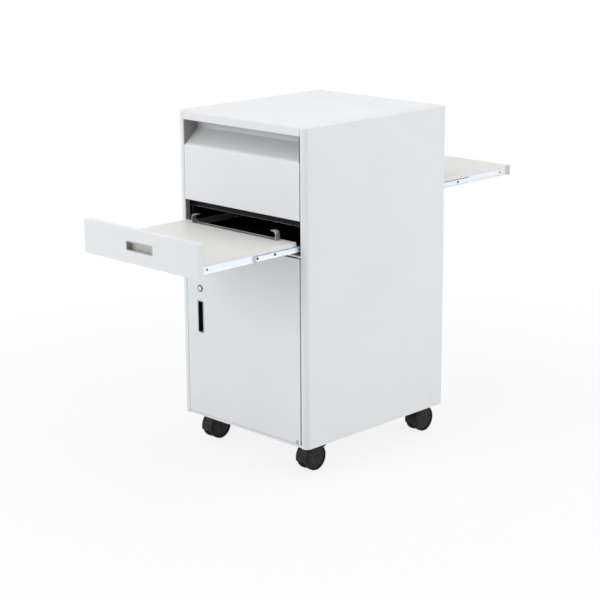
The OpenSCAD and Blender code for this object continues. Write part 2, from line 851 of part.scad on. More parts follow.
module door_bushes() {
    foot = z_door - bush_proud;
    head = z_door_top + bush_proud;
    color(black) difference() {
        union() {
            rod_z(pivot_x, pivot_y, foot, foot + bush_h, bush_r);
            rod_z(pivot_x, pivot_y, head - bush_h, head, bush_r);
        }
        rod_z(pivot_x, pivot_y, z_floor, z_rail, pin_r + running);
    }
}

// Rubber bumpers on the rail's flange, for the door to close against
module door_bumpers() {
    color(black) for (x = [door_left + lock_inset / 2, 0])
        rod_y(x, z_rail - rail_flange / 2, door_t + seam, panel_fold - sheet, bumper_r);
}

module lock_housing() {
    back = door_t + lock_nut_t;
    color(zinc) difference() {
        union() {
            rod_y(lock_x, z_lock, -lock_flange_t, 0, lock_flange_r);
            rod_y(lock_x, z_lock, 0, back, lock_r);
            rod_y(lock_x, z_lock, door_t, back, lock_flange_r);
        }
        rod_y(lock_x, z_lock, -lock_flange_t - overrun, back + overrun, plug_r + running);
    }
}

module lock_plug() {
    face = -lock_flange_t - plug_proud;
    color(steel) difference() {
        rod_y(lock_x, z_lock, face, cam_y + cam_t, plug_r);
        translate([lock_x, 0, z_lock]) along_y(face - overrun, door_t / 2)
            square([key_w, key_l], center = true);
    }
}

// Cam behind the door; it hangs down when the lock is open
module lock_cam() {
    color(zinc) difference() {
        translate([lock_x, 0, z_lock]) along_y(cam_y, cam_y + cam_t) {
            circle(cam_hub_r);
            translate([-cam_w / 2, -cam_len + cam_w / 2]) square([cam_w, cam_len - cam_w / 2]);
            translate([0, -cam_len + cam_w / 2]) circle(cam_w / 2);
        }
        rod_y(lock_x, z_lock, cam_y - overrun, cam_y + cam_t + overrun, plug_r + running);
    }
}

module caster_plates() {
    color(zinc) for (s = stems) difference() {
        translate([s[0], s[1], 0]) along_z(z_plate, z_plate + plate_t)
            round_rect(plate_w, plate_w, back_corner);
        rod_z(s[0], s[1], z_plate - overrun, z_plate + plate_t + overrun, stud_r + loose);
    }
}

// Stems: pin below, hexagon under the plate, stud and nut above
module caster_stems() {
    color(zinc) for (s = stems) {
        rod_z(s[0], s[1], wheel_r + stem_clear, z_plate - hex_h, stem_r);
        translate([s[0], s[1], z_plate - hex_h]) cylinder(h = hex_h, r = hex_r, $fn = 6);
        rod_z(s[0], s[1], z_plate, z_floor + stud_rise, stud_r);
        difference() {
            translate([s[0], s[1], z_floor]) cylinder(h = nut_h, r = nut_r, $fn = 6);
            rod_z(s[0], s[1], z_floor - overrun, z_floor + nut_h + overrun, stud_r + loose);
        }
    }
}

// Section of a wheel: radius outwards, width up from the hub's inner face
module wheel_section() {
    w = wheels_w / 2 - web_half - hub_gap;
    bore = axle_r + running;
    rim = wheel_r - rim_t;
    cap = w - cap_t / 2;
    translate([rim, 0]) square([rim_t - tread_r, w]);
    translate([rim, tread_r]) square([rim_t, w - 2 * tread_r]);
    for (x = [tread_r, w - tread_r]) translate([wheel_r - tread_r, x]) circle(tread_r);
    translate([bore, cap - cap_t - spoke_t]) square([rim - bore, spoke_t]);
    translate([bore, 0]) square([web_half, cap - cap_t]);
    translate([0, cap - cap_t]) square([wheel_r * cap_share, cap_t]);
}

// The casters trail towards the back
module caster_wheels(s) {
    color(black) translate([s[0], s[1] + trail, wheel_r]) for (side = [-1, 1])
        rotate([0, side * 90, 0]) translate([0, 0, web_half + hub_gap])
            rotate_extrude() wheel_section();
}

module caster_axle(s) {
    end = wheels_w / 2 - 3 * cap_t / 2 - seam;
    color(zinc) translate([s[0], s[1] + trail, wheel_r]) rod_x(0, 0, -end, end, axle_r);
}

// Hood: web between the wheels, fender over them and a neck round the stem
module caster_hood(s, brake) {
    color(black) translate([s[0], s[1], 0]) difference() {
        union() {
            translate([0, trail, wheel_r]) {
                along_x(-web_half, web_half) {
                    circle(wheel_r * web_share);
                    disc_sector(hood_r + hood_t, web_angles);
                }
                along_x(-wheels_w / 2, wheels_w / 2) difference() {
                    disc_sector(hood_r + hood_t, hood_angles);
                    circle(hood_r);
                }
                if (brake) rod_x(pedal_pivot[0], pedal_pivot[1], -web_half, web_half, lug_r);
            }
            difference() {
                rod_z(0, 0, wheel_r * neck_share, z_collar, collar_r);
                for (side = [-1, 1]) on_side(side)
                    rod_x(trail, wheel_r, web_half, wheels_w, hood_r);
            }
        }
        rod_z(0, 0, wheel_r + stem_clear - collar_gap, z_collar + overrun, stem_r + running);
        rod_x(trail, wheel_r, -wheels_w, wheels_w, axle_r + running);
        if (brake) rod_x(trail + pedal_pivot[0], wheel_r + pedal_pivot[1], -wheels_w, wheels_w,
            pedal_pin_r + running);
    }
}

// From the axle to the pedal's pivot, along its arm
module on_pedal() {
    translate(pedal_pivot) rotate(atan2(pedal_arm[1], pedal_arm[0])) children();
}

// Brake pedal: two ears on a pin through the hood's lug, and a foot plate with a bead
module brake_pedal(s) {
    ear = web_half + seam;
    pin = ear + pedal_t / 2;
    low = pedal_bar / 2 - pedal_sink;
    color(black) translate([s[0], s[1] + trail, wheel_r]) {
        for (side = [-1, 1]) on_side(side) along_x(ear, ear + pedal_t) on_pedal() {
            circle(lug_r);
            translate([norm(pedal_arm), 0]) circle(tip_r);
            translate([0, -pedal_bar / 2]) square([norm(pedal_arm), pedal_bar]);
        }
        rod_x(pedal_pivot[0], pedal_pivot[1], -pin, pin, pedal_pin_r);
        along_x(-pedal_half, pedal_half) on_pedal() {
            translate([lug_r, low]) square([pedal_end - lug_r, pedal_t]);
            translate([pedal_end - pedal_sink, low + pedal_t / 2]) circle(bead_r);
        }
    }
}

placed() on_side(-1) side_panel();  // side_panel_left
placed() side_panel();  // side_panel_right
placed() top_panel();
placed() upper_front_panel();
placed() bay_divider();
placed() lower_divider();
placed() base_panel();
placed() back_panel();
placed() inner_shelf();
placed() shelf_pins();
placed() on_side(-1) uprights();  // uprights_left
placed() uprights();  // uprights_right
placed() on_side(-1) slide_outer(z_tray_slide, tray_slide_y, tray_slide_len);  // tray_slide_outer_left
placed() slide_outer(z_tray_slide, tray_slide_y, tray_slide_len);  // tray_slide_outer_right
placed() on_side(-1) slide_outer(z_shelf_slide, shelf_slide_y, shelf_slide_len);  // shelf_slide_outer_left
placed() slide_outer(z_shelf_slide, shelf_slide_y, shelf_slide_len);  // shelf_slide_outer_right
placed() door_pivots();
placed() door_bumpers();
placed() cabinet_screws();
placed() caster_plates();
placed() caster_stems();
placed() tray_deck();
placed() drawer_front();
placed() drawer_pull();
placed() laptop_stop();
placed() on_side(-1)  // tray_slide_inner_left
    slide_inner(z_tray_slide, tray_slide_y, tray_slide_len, -tray_out);
placed() slide_inner(z_tray_slide, tray_slide_y, tray_slide_len, -tray_out);  // tray_slide_inner_right
placed() slide_screws(z_tray_slide, tray_slide_y, tray_slide_len, -tray_out);  // tray_screws
placed() on_side(-1)  // tray_slide_middle_left
    slide_middle(z_tray_slide, tray_slide_y, tray_slide_len, -tray_out);
placed() slide_middle(z_tray_slide, tray_slide_y, tray_slide_len, -tray_out);  // tray_slide_middle_right
placed() for (side = [-1, 1]) on_side(side)  // tray_ball_cages
    slide_cages(z_tray_slide, tray_slide_y, tray_slide_len, -tray_out);
placed() projector_shelf();
placed() on_side(-1)  // shelf_slide_inner_left
    slide_inner(z_shelf_slide, shelf_slide_y, shelf_slide_len, shelf_out);
placed() slide_inner(z_shelf_slide, shelf_slide_y, shelf_slide_len, shelf_out);  // shelf_slide_inner_right
placed() slide_screws(z_shelf_slide, shelf_slide_y, shelf_slide_len, shelf_out);  // shelf_screws
placed() on_side(-1)  // shelf_slide_middle_left
    slide_middle(z_shelf_slide, shelf_slide_y, shelf_slide_len, shelf_out);
placed() slide_middle(z_shelf_slide, shelf_slide_y, shelf_slide_len, shelf_out);  // shelf_slide_middle_right
placed() for (side = [-1, 1]) on_side(side)  // shelf_ball_cages
    slide_cages(z_shelf_slide, shelf_slide_y, shelf_slide_len, shelf_out);
placed() door_panel();
placed() door_inner_panel();
placed() door_pull();
placed() door_bushes();
placed() lock_housing();
placed() lock_plug();
placed() lock_cam();
placed() caster_hood(stems[0], true);  // caster_fl_hood
placed() caster_axle(stems[0]);  // caster_fl_axle
placed() caster_wheels(stems[0]);  // caster_fl_wheels
placed() caster_hood(stems[1], true);  // caster_fr_hood
placed() caster_axle(stems[1]);  // caster_fr_axle
placed() caster_wheels(stems[1]);  // caster_fr_wheels
placed() caster_hood(stems[2], false);  // caster_rl_hood
placed() caster_axle(stems[2]);  // caster_rl_axle
placed() caster_wheels(stems[2]);  // caster_rl_wheels
placed() caster_hood(stems[3], false);  // caster_rr_hood
placed() caster_axle(stems[3]);  // caster_rr_axle
placed() caster_wheels(stems[3]);  // caster_rr_wheels
placed() brake_pedal(stems[0]);  // brake_pedal_fl
placed() brake_pedal(stems[1]);  // brake_pedal_fr
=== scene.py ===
"""Finishes and fine pieces for a projector cart: a white steel cabinet on four twin-wheel casters."""

import math

import bmesh
import bpy
from bpy.props import FloatProperty, FloatVectorProperty, IntProperty, PointerProperty
from mathutils import Matrix, Vector


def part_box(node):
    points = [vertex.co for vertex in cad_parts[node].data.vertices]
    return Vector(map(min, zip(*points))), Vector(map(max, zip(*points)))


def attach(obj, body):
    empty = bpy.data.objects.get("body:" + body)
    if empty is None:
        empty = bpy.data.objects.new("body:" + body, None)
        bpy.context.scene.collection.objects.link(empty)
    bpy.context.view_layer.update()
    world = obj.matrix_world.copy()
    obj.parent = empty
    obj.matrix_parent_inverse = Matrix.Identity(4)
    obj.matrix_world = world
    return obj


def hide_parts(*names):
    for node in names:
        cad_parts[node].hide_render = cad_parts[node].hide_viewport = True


bl_info = {
    "name": "Projector Cart Finishes",
    "version": (1, 0, 0),
    "blender": (4, 5, 0),
    "location": "View3D > Sidebar > Cart",
    "description": "Finishes and fine pieces for a projector cart on casters",
    "category": "Object",
}

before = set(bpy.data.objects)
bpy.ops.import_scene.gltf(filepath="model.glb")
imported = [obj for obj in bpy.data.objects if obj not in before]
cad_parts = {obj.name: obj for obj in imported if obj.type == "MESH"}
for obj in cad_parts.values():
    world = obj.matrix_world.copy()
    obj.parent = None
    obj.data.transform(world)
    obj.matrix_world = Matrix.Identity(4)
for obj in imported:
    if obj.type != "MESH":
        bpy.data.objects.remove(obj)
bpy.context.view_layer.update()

MM = 0.001
FULL_TURN = 360.0
# Points closer together than this are one point
SAME_POINT = 1e-6
ORIGIN = Vector((0, 0, 0))
# How a profile spun about Z is laid along another axis
LIE = {"X": Matrix(((0, 0, 1), (1, 0, 0), (0, 1, 0))),
       "Y": Matrix(((0, 1, 0), (0, 0, 1), (1, 0, 0)))}

CORNERS = ("fl", "fr", "rl", "rr")
BRAKED = CORNERS[:2]

# CAD nodes by finish
WHITE_NODES = (
    "top_panel", "base_panel", "inner_shelf", "drawer_front", "door_panel", "door_inner_panel",
)
# CAD nodes whose coat carries painted shade in the tray's bay and on the posts' returns
INNER_SHADE_NODES = (
    "side_panel_left", "side_panel_right", "lower_divider", "back_panel",
    "uprights_left", "uprights_right",
)
CREAM_NODES = ("tray_deck", "projector_shelf")
ZINC_NODES = (
    "tray_slide_outer_left", "tray_slide_outer_right", "shelf_slide_outer_left",
    "shelf_slide_outer_right", "tray_slide_inner_left", "tray_slide_inner_right",
    "tray_slide_middle_left", "tray_slide_middle_right", "shelf_slide_inner_left",
    "shelf_slide_inner_right", "shelf_slide_middle_left", "shelf_slide_middle_right",
    "tray_ball_cages", "shelf_ball_cages", "lock_cam", "lock_plug", "shelf_pins",
    "caster_plates", "caster_stems",
)
STEEL_NODES = ("door_pivots", *(f"caster_{corner}_axle" for corner in CORNERS))
ROUNDED_STEEL_NODES = ("laptop_stop", "drawer_pull")

# The tray's bay, the hand-hold recess and the posts' returns, as places in the frame where shade is
# painted
SKIN = 0.3 * MM
BAY_HALF = 249.1 * MM
BAY_FRONT, BAY_BACK = -249.0 * MM, 299.0 * MM
BAY_LOW, BAY_HIGH = 619.5 * MM, 718.5 * MM
BAY_ROOF, BAY_FOLD = 698.0 * MM, -243.3 * MM
HOLD_LOW = 874.0 * MM
SLOPE_SHADE_RISE = 9 * MM
CHEEK_HALF = 224.9 * MM
RETURN_HALF = 229.3 * MM
RETURN_FRONT, RETURN_BACK = -264.5 * MM, -249.0 * MM

# Colours inside the finishes
# Painted shade: near black over the inside of the tray's bay
BAY_SHADE = (0.003, 0.003, 0.0035)
# Painted shade in the hand-hold recess under the top's front edge: darker cheeks and a darker slope
CHEEK_SHADE = (0.27, 0.26, 0.23)
SLOPE_SHADE = (0.36, 0.355, 0.335)
# Painted shade: grey on the posts' returns deep in the gaps
GAP_SHADE = (0.15, 0.15, 0.145)
SPECK = (0.60, 0.60, 0.58)
DUST = (0.42, 0.38, 0.33)
GREY_DUST = (0.20, 0.18, 0.15)
CUP_BLACK = (0.012, 0.016, 0.013)
# Painted highlight: pale grey on the front of the door pull cup's rim
CUP_RIM_HIGHLIGHT = (0.50, 0.51, 0.50)

# Shares of the finishes: how much of the second colour or value is mixed in; the first three are
# painted shade on the recess's slope, on its cheeks and on the posts' returns
SLOPE_SHADE_SHARE, CHEEK_SHADE_SHARE, GAP_SHADE_SHARE = 0.50, 0.95, 0.85
COAT_GLOSS = 0.10
PLASTIC_ROUGH, PLASTIC_DUST = 0.42, 0.10

# Edge rounding of the dressed CAD nodes
EDGE_ANGLE = math.radians(40)
STEEL_EDGE, LOCK_EDGE, CUP_EDGE, PEDAL_EDGE = 0.3 * MM, 0.4 * MM, 0.2 * MM, 0.4 * MM
CUP_RIM_DEPTH = 0.2 * MM

# Facets of the turned pieces
ROUND_FACETS, SCREW_FACETS, MARK_FACETS = 32, 16, 10

# From here on profiles and measures are in millimetres: (radius, distance along the axis).
# Wheels, measured from the middle plane between the two
DISC_PROFILE = [
    (0.0, 20.75), (3.0, 20.65), (5.2, 20.2), (5.8, 19.5), (6.2, 18.9), (7.0, 18.8),
    (7.6, 19.3), (8.6, 19.55), (16.0, 19.9), (22.0, 20.0), (24.4, 19.9), (24.9, 19.4),
    (25.6, 19.35), (26.1, 19.8), (29.6, 19.5), (30.9, 18.9), (30.9, 9.0), (29.5, 8.4),
    (13.5, 8.4), (12.9, 7.4), (0.0, 7.4),
]
TYRE_FOOT = [(31.0, 7.7), (31.5, 7.2)]
TYRE_LIP = [(32.2, 21.0), (31.4, 20.6), (31.0, 19.8)]
TREAD_RADIUS, TREAD_ROUND, TREAD_IN, TREAD_OUT = 35.3, 2.2, 9.4, 18.8
MARK_PROFILE = [(0.0, 1.0), (0.8, 0.85), (1.2, 0.4), (1.2, -1.0), (0.0, -1.0)]
MARK_COUNT, MARK_START, MARK_RING, MARK_PLANE = 5, 18.0, 20.0, 19.5

# Hoods, with angles in degrees about the axle
HOOD_START, HOOD_END, WEB_START = 50.0, 194.0, 30.0
FENDER_INNER, FENDER_MIDDLE, FENDER_HALF = 38.75, 39.4, 21.0
FENDER_ROUND, FENDER_END_ROUND, FENDER_STEPS = 1.6, 0.55, 40
WEB_OUTER, WEB_INNER, WEB_HALF, WEB_ROUND = 39.4, 32.2, 6.5, 1.0
LUG_PROFILE = [(0.0, 6.5), (4.5, 6.5), (5.0, 6.0), (5.0, -6.0), (4.5, -6.5), (0.0, -6.5)]
LUG_PLACE = Vector((0, 35.25 * MM, 27.0 * MM))
NECK_TOP, NECK_FACETS = 47.8, 48
# Rings of the neck: radius and height over the axle, then radius and height over the fender
NECK_RINGS = [(0.0, 47.8), (10.2, 47.8), (10.8, 47.5), (11.0, 46.8)]
FLARE_RINGS = [(11.0, 5.0), (11.3, 3.0), (12.2, 1.6), (13.4, 0.9), (14.4, 0.4), (14.6, -0.3),
               (0.0, -0.3)]
FLARE_RADIUS = 40.6

# Screws: shares of the head's radius and of its height
HEAD_HEIGHT = 1.4 * MM
HEAD_PROFILE = [(0.0, 1.0), (0.22, 1.0), (0.5, 0.97), (0.8, 0.78), (0.96, 0.42), (1.0, 0.0)]
SHANK_SHARE = 0.62
RECESS_REACH, RECESS_HALF, RECESS_DEPTH, RECESS_FLOOR = 0.55, 0.05, 0.55, 0.9

# The door's lower hinge, measured from the door's lower right corner
HINGE_SCREW_PROFILE = [(0.0, 2.2), (1.6, 2.15), (3.4, 1.9), (5.0, 1.3), (5.9, 0.5), (6.1, -0.4),
                       (0.0, -0.4)]
HINGE_BUSH_PROFILE = [(0.0, 2.8), (3.9, 2.8), (4.5, 2.2), (4.5, -1.2), (0.0, -1.2)]
HINGE_HEIGHT, HINGE_INSET, HINGE_DEPTH = 6.0 * MM, 12.5 * MM, 4.6 * MM

# Stage, in metres: name, place, width and power setting of each lamp
LAMP_TARGET = Vector((0.0, 0.0, 0.5))
LAMPS = (("lamp_top", (0.2, -0.3, 3.2), 2.6, "top_light"),
         ("lamp_front", (-1.9, -4.1, 1.9), 2.0, "front_light"),
         ("lamp_side", (4.1, 1.9, 1.9), 2.0, "side_light"))
FLOOR_RADIUS, FLOOR_FACETS = 60.0, 64
# The floor shows its shadow near the cart and grows white between these two distances
WHITE_FROM, WHITE_TO, WHITE_NEAR = 0.7, 2.2, 0.84
FLOOR_GREY = (0.86, 0.86, 0.86, 1.0)
WHITE = (1.0, 1.0, 1.0, 1.0)
COOL_WHITE = (0.965, 0.985, 1.0, 1.0)
SENSOR_WIDTH, PICTURE_WIDTH, SIGHT = 36.0, 600.0, 200.0

# Filled by the operators that make finishes, used by those that make pieces
FINISHES = {}


# Shader graphs


class Wire:
    """A value socket of a shader graph that takes part in Python sums."""

    def __init__(self, graph, socket):
        self.graph = graph
        self.socket = socket

    def math(self, operation, *others):
        """The result of a maths node that starts from this wire."""
        values = dict(enumerate((self, *others)))
        return self.graph.wire("ShaderNodeMath", {"operation": operation}, values)

    def __add__(self, other):
        return self.math("ADD", other)

    __radd__ = __add__

    def __mul__(self, other):
        return self.math("MULTIPLY", other)

    def __rsub__(self, other):
        return self.graph.wire("ShaderNodeMath", {"operation": "SUBTRACT"}, {0: other, 1: self})

    def smooth(self, low, high):
        """0 below low, 1 above high, smooth between."""
        return self.graph.wire(
            "ShaderNodeMapRange", {"interpolation_type": "SMOOTHSTEP"},
            {"Value": self, "From Min": low, "From Max": high, "To Min": 0.0, "To Max": 1.0})


class Graph:
    """The nodes of a material or of the world."""

    def __init__(self, owner, output):
        owner.use_nodes = True
        self.owner = owner
        self.tree = owner.node_tree
        self.tree.nodes.clear()
        self.output = self.node(output)

    def node(self, kind, settings=None, values=None):
        """A node of this kind, with its settings first and then its sockets' values or wires."""
        made = self.tree.nodes.new(kind)
        for key, value in (settings or {}).items():
            setattr(made, key, value)
        for key, value in (values or {}).items():
            if isinstance(value, Wire):
                self.tree.links.new(value.socket, made.inputs[key])
            else:
                made.inputs[key].default_value = value
        return made

    def wire(self, kind, settings=None, values=None, output=0):
        """One output of a new node."""
        return Wire(self, self.node(kind, settings, values).outputs[output])

    def seen_directly(self):
        """1 for rays that come from the camera or from a glossy face."""
        rays = self.node("ShaderNodeLightPath")
        from_camera = Wire(self, rays.outputs["Is Camera Ray"])
        return from_camera.math("MAXIMUM", Wire(self, rays.outputs["Is Glossy Ray"]))

    def end_in(self, shader):
        """Ends the graph in this shader."""
        self.tree.links.new(shader.socket, self.output.inputs[0])
        return self.owner


class Finish(Graph):
    """The nodes of one material, laid out by the object's own coordinates."""

    def __init__(self, name):
        super().__init__(bpy.data.materials.new(name), "ShaderNodeOutputMaterial")
        self.place = self.wire("ShaderNodeTexCoord", output="Object")
        split = self.node("ShaderNodeSeparateXYZ", None, {0: self.place})
        self.x, self.y, self.z = (Wire(self, socket) for socket in split.outputs)

    def noise(self, scale, detail=2.0, roughness=0.5, stretch=None):
        """Noise, drawn out along the axes whose stretch is small."""
        place = self.place
        if stretch:
            place = self.wire("ShaderNodeMapping", None, {"Vector": place, "Scale": stretch})
        return self.wire("ShaderNodeTexNoise", None, {
            "Vector": place, "Scale": scale, "Detail": detail, "Roughness": roughness})

    def mix(self, share, first, second):
        """A colour between two colours."""
        return self.wire("ShaderNodeMix", {"data_type": "RGBA"},
                         {0: share, 6: with_alpha(first), 7: with_alpha(second)}, output=2)

    def bump(self, height, distance, strength):
        """A normal that follows a height."""
        return self.wire("ShaderNodeBump", None, {
            "Height": height, "Distance": distance, "Strength": strength})

    def surface(self, **values):
        """Ends the material in a principled shader with these values."""
        names = {key.replace("_", " ").title().replace("Ior", "IOR"): value
                 for key, value in values.items()}
        return self.end_in(self.wire("ShaderNodeBsdfPrincipled", None, names))


def with_alpha(value):
    """A colour with its alpha, or the wire as it is."""
    return value if isinstance(value, Wire) else (*value, 1.0)


def tinted(value, factor):
    """A colour made darker or lighter by a factor."""
    return tuple(part * factor for part in value)


# Finishes


def between(wire, low, high, soft):
    """1 where the wire lies between low and high, 0 outside, soft at both ends."""
    return wire.smooth(low - soft, low + soft) * (1.0 - wire.smooth(high - soft, high + soft))


def painted_bay_shade(graph):
    """1 on the faces that line the tray's bay, where near black is painted as shade and the coat's
    gloss is taken off.
    """
    across = 1.0 - graph.x.math("ABSOLUTE").smooth(BAY_HALF, BAY_HALF + SKIN)
    under = 1.0 - graph.z.smooth(BAY_ROOF, BAY_ROOF + SKIN)
    fold = 1.0 - graph.y.smooth(BAY_FOLD, BAY_FOLD + SKIN)
    return (across * between(graph.y, BAY_FRONT, BAY_BACK, SKIN)
            * between(graph.z, BAY_LOW, BAY_HIGH, SKIN) * under.math("MAXIMUM", fold))


def painted_gap_shade(graph):
    """1 on the inner returns of the front posts, deep in the gaps beside door and drawer, where grey
    is painted as shade.
    """
    across = 1.0 - graph.x.math("ABSOLUTE").smooth(RETURN_HALF, RETURN_HALF + SKIN)
    return across * between(graph.y, RETURN_FRONT, RETURN_BACK, SKIN)


def recess_cheek_shade(graph):
    """1 on the two end faces of the hand-hold recess, where darker grey is painted as shade."""
    across = graph.x.math("ABSOLUTE").smooth(CHEEK_HALF - SKIN, CHEEK_HALF)
    return across * graph.z.smooth(HOLD_LOW, HOLD_LOW + SKIN)


def powder_coat(name, base, low_dust=0.04, paint_inner_shade=False, recess_shade=False, shine=0.5):
    """White powder coat: fine orange peel, a faint cloudiness, and a little dust near the floor, with
    painted shade in the tray's bay, on the posts' returns and in the hand-hold recess where asked.
    """
    graph = Finish(name)
    gloss = COAT_GLOSS
    cloud = graph.noise(5.0, 3.0).smooth(0.35, 0.70)
    speck = graph.noise(160.0, 4.0, 0.6).smooth(0.70, 0.80)
    dust = (1.0 - graph.z.smooth(0.08, 0.30)) * graph.noise(30.0, 4.0).smooth(0.3, 0.8)
    tone = graph.mix(cloud, base, tinted(base, 0.982))
    tone = graph.mix(speck * 0.25, tone, SPECK)
    tone = graph.mix(dust * low_dust, tone, DUST)
    # Painted shade: grey on the posts' returns in the gaps, near black with no coat gloss in the
    # tray's bay
    if paint_inner_shade:
        bay_shade_mask = painted_bay_shade(graph)
        tone = graph.mix(painted_gap_shade(graph) * GAP_SHADE_SHARE, tone, GAP_SHADE)
        tone = graph.mix(bay_shade_mask, tone, BAY_SHADE)
        gloss = (1.0 - bay_shade_mask) * gloss
    # Painted shade: grey on the recess's slope and darker grey on its cheeks, where the top's front
    # edge keeps the light off
    if recess_shade:
        slope_shade_mask = graph.z.smooth(HOLD_LOW, HOLD_LOW + SLOPE_SHADE_RISE)
        tone = graph.mix(slope_shade_mask * SLOPE_SHADE_SHARE, tone, SLOPE_SHADE)
        tone = graph.mix(recess_cheek_shade(graph) * CHEEK_SHADE_SHARE, tone, CHEEK_SHADE)
    peel = graph.noise(620.0, 2.0, 0.45) + graph.noise(2300.0, 1.0) * 0.25
    rubbed = graph.noise(9.0, 5.0, 0.6).smooth(0.45, 0.62)
    return graph.surface(
        base_color=tone, roughness=0.40 + rubbed * 0.07 + speck * 0.15,
        normal=graph.bump(peel, 0.04 * MM, 0.35), coat_weight=gloss, coat_roughness=0.25,
        specular_ior_level=shine)


def plated_steel(name, base, grain=(1.0, 0.04, 1.0), rough=0.30):
    """Bright zinc plating over rolled steel: grain along the roll, mottling, some darker spots."""
    graph = Finish(name)
    streak = graph.noise(900.0, 3.0, 0.6, grain)
    mottle = graph.noise(70.0, 4.0, 0.6).smooth(0.35, 0.75)
    spot = graph.noise(260.0, 3.0).smooth(0.68, 0.76)
    tone = graph.mix(mottle * 0.5, base, tinted(base, 0.86))
    tone = graph.mix(streak * 0.25, tone, tinted(base, 1.08))
    tone = graph.mix(spot * 0.4, tone, tinted(base, 0.55))
    return graph.surface(
        base_color=tone, metallic=0.92, roughness=rough + streak * 0.12 + mottle * 0.10,
        normal=graph.bump(streak, 0.03 * MM, 0.30))


def moulded_plastic(name, base, highlight_from=None):
    """Black moulded plastic: fine grain, a grey bloom, dust near the floor, perhaps a painted
    highlight in pale grey along the rim's front.
    """
    graph = Finish(name)
    grain = graph.noise(2600.0, 2.0, 0.6)
    bloom = graph.noise(55.0, 4.0, 0.6).smooth(0.40, 0.75)
    dust = (1.0 - graph.z.smooth(0.0, 0.075)) * graph.noise(120.0, 4.0).smooth(0.35, 0.75)
    tone = graph.mix(bloom * 0.5, base, tinted(base, 1.7))
    tone = graph.mix(dust * PLASTIC_DUST, tone, GREY_DUST)
    if highlight_from is not None:
        # Painted highlight: pale grey on the front face of the cup's rim
        tone = graph.mix(1.0 - graph.y.smooth(highlight_from, highlight_from + CUP_RIM_DEPTH), tone, CUP_RIM_HIGHLIGHT)
    return graph.surface(
        base_color=tone, roughness=PLASTIC_ROUGH + bloom * 0.12 + dust * 0.2,
        specular_ior_level=0.22, normal=graph.bump(grain, 0.05 * MM, 0.4))


def tread_rubber(name, base):
    """Wheel tread: matt, scuffed grey where it runs on the floor."""
    graph = Finish(name)
    scuff = graph.noise(180.0, 5.0, 0.65).smooth(0.42, 0.70)
    grain = graph.noise(1500.0, 2.0)
    tone = graph.mix(scuff * 0.6, base, tinted(base, 2.2))
    return graph.surface(
        base_color=tone, roughness=0.62 + scuff * 0.2,
        specular_ior_level=0.20, normal=graph.bump(grain + scuff * 0.5, 0.08 * MM, 0.5))


# Making pieces


def middle_of(node):
    """The middle of a CAD node's box."""
    low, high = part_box(node)
    return (low + high) / 2


def finished_piece(name, bm, material, body, sharp=35.0):
    """Turns a bmesh into a piece that rides on a body, smooth except over sharp edges."""
    bmesh.ops.remove_doubles(bm, verts=bm.verts, dist=SAME_POINT)
    bmesh.ops.recalc_face_normals(bm, faces=bm.faces)
    for face in bm.faces:
        face.smooth = True
    for edge in bm.edges:
        edge.smooth = len(edge.link_faces) == 2 and edge.calc_face_angle() < math.radians(sharp)
    mesh = bpy.data.meshes.new(name)
    bm.to_mesh(mesh)
    bm.free()
    mesh.materials.append(material)
    made = bpy.data.objects.new(name, mesh)
    bpy.context.scene.collection.objects.link(made)
    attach(made, body)
    return made


def in_metres(profile, side=1):
    """A profile given in millimetres, turned to the other side if side is -1."""
    return [(radius * MM, side * height * MM) for radius, height in profile]


def turned(bm, profile, middle, axis, steps, start=0.0, angle=FULL_TURN):
    """Spins a profile of (radius, height) points about an axis through the middle."""
    made = bmesh.new()
    points = [made.verts.new((radius, 0.0, height)) for radius, height in profile]
    for first, second in zip(points, points[1:]):
        made.edges.new((first, second))
    bmesh.ops.rotate(made, verts=made.verts, cent=ORIGIN,
                     matrix=Matrix.Rotation(math.radians(start), 3, "Z"))
    bmesh.ops.spin(made, geom=made.verts[:] + made.edges[:], cent=ORIGIN, axis=(0, 0, 1),
                   angle=math.radians(angle), steps=steps, use_merge=angle >= FULL_TURN)
    bmesh.ops.remove_doubles(made, verts=made.verts, dist=SAME_POINT)
    bmesh.ops.transform(made, verts=made.verts,
                        matrix=Matrix.Translation(middle) @ LIE[axis].to_4x4())
    merge(bm, made)


def rounded(bm, faces, offset, segments):
    """Rounds the edges about these faces."""
    edges = list(dict.fromkeys(edge for face in faces for edge in face.edges))
    bmesh.ops.bevel(bm, geom=edges, offset=offset, segments=segments, affect="EDGES",
                    profile=0.5, material=-1)


def merge(bm, other):
    """Adds one bmesh to another and frees it."""
    mesh = bpy.data.meshes.new("merging")
    other.to_mesh(mesh)
    other.free()
    bm.from_mesh(mesh)
    bpy.data.meshes.remove(mesh)


def islands(node):
    """Lowest and highest corner of every separate solid of a CAD node, from a merged copy."""
    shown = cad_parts[node]
    bm = bmesh.new()
    bm.from_mesh(shown.data)
    bmesh.ops.remove_doubles(bm, verts=bm.verts, dist=SAME_POINT)
    reached, found = set(), []
    for first in bm.verts:
        if first in reached:
            continue
        reached.add(first)
        group = [first]
        for vert in group:
            others = [edge.other_vert(vert) for edge in vert.link_edges]
            group += [other for other in others if other not in reached]
            reached.update(others)
        places = [shown.matrix_world @ vert.co for vert in group]
        found.append((Vector(map(min, zip(*places))), Vector(map(max, zip(*places)))))
    bm.free()
    return found


def arc(middle, radius, start, end, steps):
    """Points of an arc in a profile, from one angle to another in degrees."""
    turns = [math.radians(start + (end - start) * i / steps) for i in range(steps + 1)]
    return [(middle[0] + radius * math.cos(a), middle[1] + radius * math.sin(a)) for a in turns]


